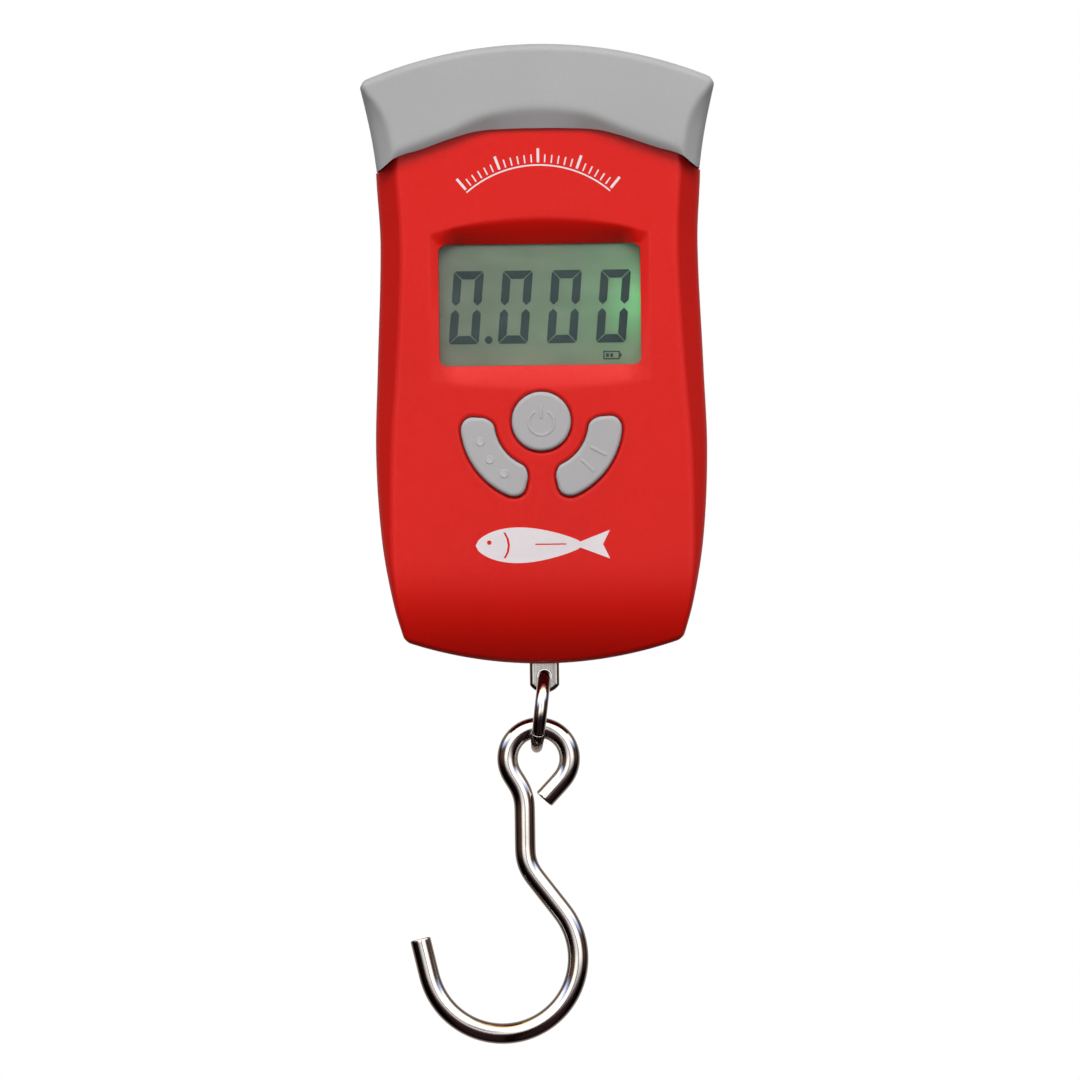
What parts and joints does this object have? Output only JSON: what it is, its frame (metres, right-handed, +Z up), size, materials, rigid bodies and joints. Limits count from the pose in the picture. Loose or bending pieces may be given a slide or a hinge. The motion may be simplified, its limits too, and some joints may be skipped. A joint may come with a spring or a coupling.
{
  "type": "digital fish scale",
  "caption": "Hand-held digital fish scale: a red case with a grey grip cap, display window and keys, above a swinging steel ring and hook.",
  "frame": {"origin": "middle of the hand grip, midway between its ends and between its front and back, 12 mm below the top of the cap", "axes": "+Z up along the case, from the hook to the grip; front face towards -Y; +X to the right as the display is read"},
  "size_m": [0.0664, 0.031, 0.1863],
  "materials": {
    "red_plastic": "fine moulded grain",
    "grey_plastic": "fine moulded grain",
    "key_plastic": "satin",
    "window_clear": "clear, glossy",
    "display_glass": "grey-green display",
    "white_plastic": "natural",
    "black_rubber": "matte",
    "led_green": "diffused green",
    "board_green": "solder mask",
    "chip_black": "moulded",
    "plated_metal": "nickel plated",
    "aluminium": "milled",
    "gauge_foil": "amber film",
    "polished_steel": "polished",
    "screw_steel": "zinc plated",
    "cell_wrap": "printed sleeve, plain",
    "wire_red": "insulation",
    "wire_black": "insulation",
    "wire_white": "insulation",
    "wire_green": "insulation"
  },
  "bodies": {
    "case": {"front_cover": "red_plastic", "rear_cover": "red_plastic", "grip_cap": "grey_plastic", "case_screw_1": "screw_steel", "case_screw_2": "screw_steel", "case_screw_3": "screw_steel", "case_screw_4": "screw_steel", "grip_screw_left": "screw_steel", "grip_screw_right": "screw_steel", "board_screw_left": "screw_steel", "board_screw_right": "screw_steel", "load_cell_screw_left": "screw_steel", "load_cell_screw_right": "screw_steel", "lcd_window": "window_clear", "lcd_panel": "display_glass", "lcd_holder": "white_plastic", "backlight_diffuser": "white_plastic", "backlight_led": "led_green", "zebra_strip": "black_rubber", "circuit_board": "board_green", "main_chip": "chip_black", "adc_chip": "chip_black", "crystal": "plated_metal", "filter_capacitor": "plated_metal", "power_switch": "chip_black", "left_switch": "chip_black", "right_switch": "chip_black", "battery_left": "cell_wrap", "battery_right": "cell_wrap", "positive_contact": "plated_metal", "negative_contact": "plated_metal", "bridge_contact": "plated_metal", "bridge_spring": "plated_metal", "negative_spring": "plated_metal", "battery_wire_positive": "wire_red", "battery_wire_negative": "wire_black", "gauge_wire_1": "wire_red", "gauge_wire_2": "wire_green", "gauge_wire_3": "wire_white", "gauge_wire_4": "wire_black", "load_cell": "aluminium", "gauge_left": "gauge_foil", "gauge_right": "gauge_foil", "hanger_pin": "polished_steel", "hanger_tongue": "polished_steel"},
    "battery_door": {"battery_door": "red_plastic"},
    "ring": {"link_ring": "polished_steel"},
    "hook": {"hook": "polished_steel"},
    "power_key": {"power_key": "key_plastic", "power_plunger": "white_plastic"},
    "left_key": {"left_key": "key_plastic", "left_plunger": "white_plastic"},
    "right_key": {"right_key": "key_plastic", "right_plunger": "white_plastic"}
  },
  "joints": [
    {"name": "power_key_press", "type": "slide", "parent": "case", "child": "power_key", "axis": [0, 1, 0], "range_m": [0, 0.0006], "stiffness_N_per_m": 1200, "springref_m": -0.0004},
    {"name": "left_key_press", "type": "slide", "parent": "case", "child": "left_key", "axis": [0, 1, 0], "range_m": [0, 0.0006], "stiffness_N_per_m": 1200, "springref_m": -0.0004},
    {"name": "right_key_press", "type": "slide", "parent": "case", "child": "right_key", "axis": [0, 1, 0], "range_m": [0, 0.0006], "stiffness_N_per_m": 1200, "springref_m": -0.0004},
    {"name": "battery_door_tilt", "type": "hinge", "parent": "case", "child": "battery_door", "pos_m": [0, 0.0125, -0.0182], "axis": [1, 0, 0], "range_deg": [0, 80]},
    {"name": "ring_swing", "type": "hinge", "parent": "case", "child": "ring", "pos_m": [0, 0, -0.1057], "axis": [0, 1, 0], "range_deg": [-55, 55]},
    {"name": "hook_swing", "type": "hinge", "parent": "ring", "child": "hook", "pos_m": [-0.0013, 0, -0.11525], "axis": [1, 0, 0], "range_deg": [-90, 90]}
  ]
}
